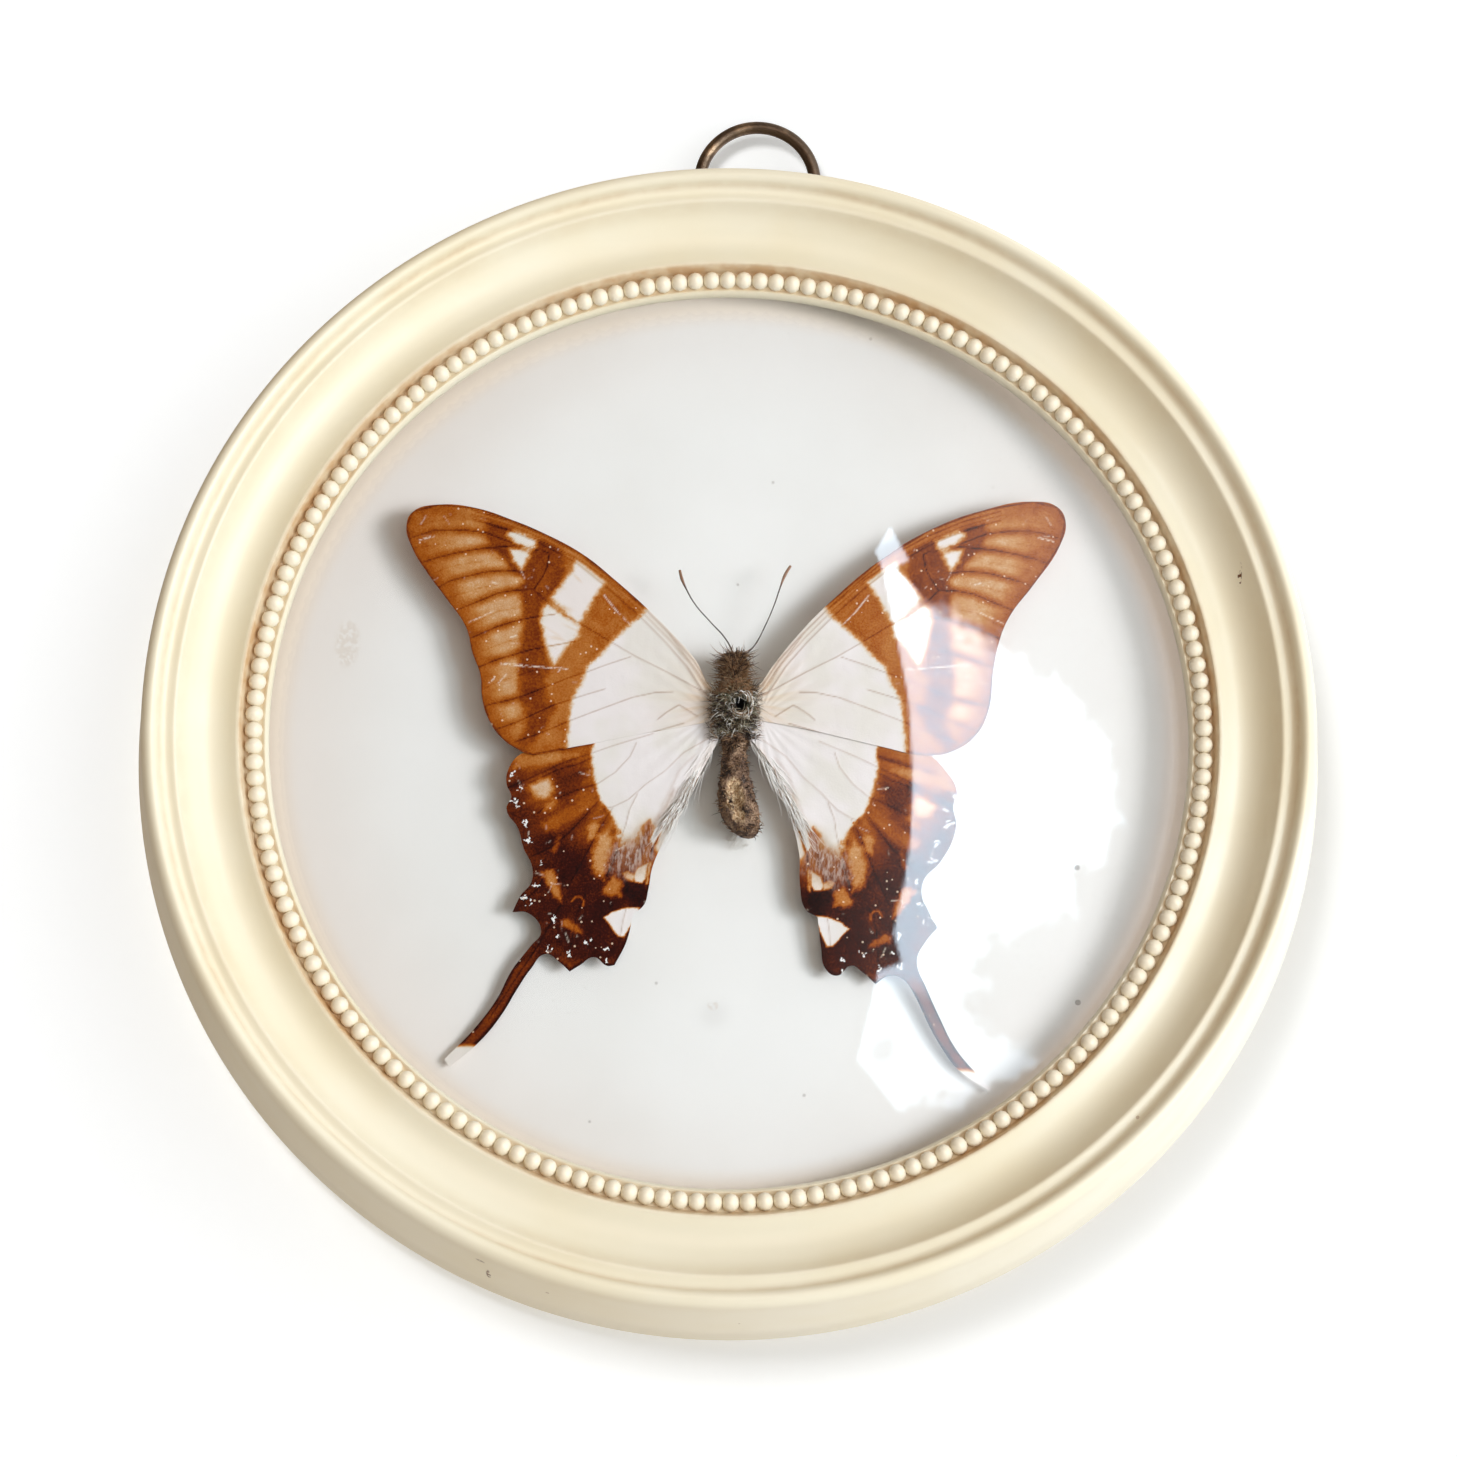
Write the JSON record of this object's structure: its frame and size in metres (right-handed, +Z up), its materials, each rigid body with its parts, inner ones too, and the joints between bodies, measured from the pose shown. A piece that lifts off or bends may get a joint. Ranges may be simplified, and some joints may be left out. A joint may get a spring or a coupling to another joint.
{
  "type": "framed butterfly specimen",
  "caption": "Round moulded wall frame with a beaded inner rim and domed glass over a spread swallowtail butterfly, hung by a wire ring.",
  "frame": {"origin": "centre of the flat back, on the plane that goes against the wall", "axes": "+Z up as it hangs, +Y into the wall, so the glass faces -Y; +X to the viewer's right"},
  "size_m": [0.1516, 0.0217, 0.1626],
  "materials": {
    "ivory_plastic": "satin",
    "clear_glass": "polished",
    "white_card": "matte paper",
    "brown_board": "matte",
    "dull_steel": "dull",
    "nail_brass": "tarnished",
    "dark_bronze": "dark patina",
    "insect_body": "hairy",
    "wing_scales": "matte scales",
    "antenna_horn": "satin"
  },
  "bodies": {
    "case": {"moulded_frame": "ivory_plastic", "convex_glass": "clear_glass", "backing_card": "white_card", "back_board": "brown_board", "hanger_strap": "dull_steel", "hanger_nail": "nail_brass", "butterfly_body": "insect_body", "forewing_left": "wing_scales", "forewing_right": "wing_scales", "hindwing_left": "wing_scales", "hindwing_right": "wing_scales", "antenna_left": "antenna_horn", "antenna_right": "antenna_horn"},
    "ring": {"hanging_ring": "dark_bronze"}
  },
  "joints": [
    {"name": "ring_swing", "type": "hinge", "parent": "case", "child": "ring", "pos_m": [0, 0.00195, 0.07064], "axis": [-1, 0, 0], "range_deg": [0, 180]}
  ]
}
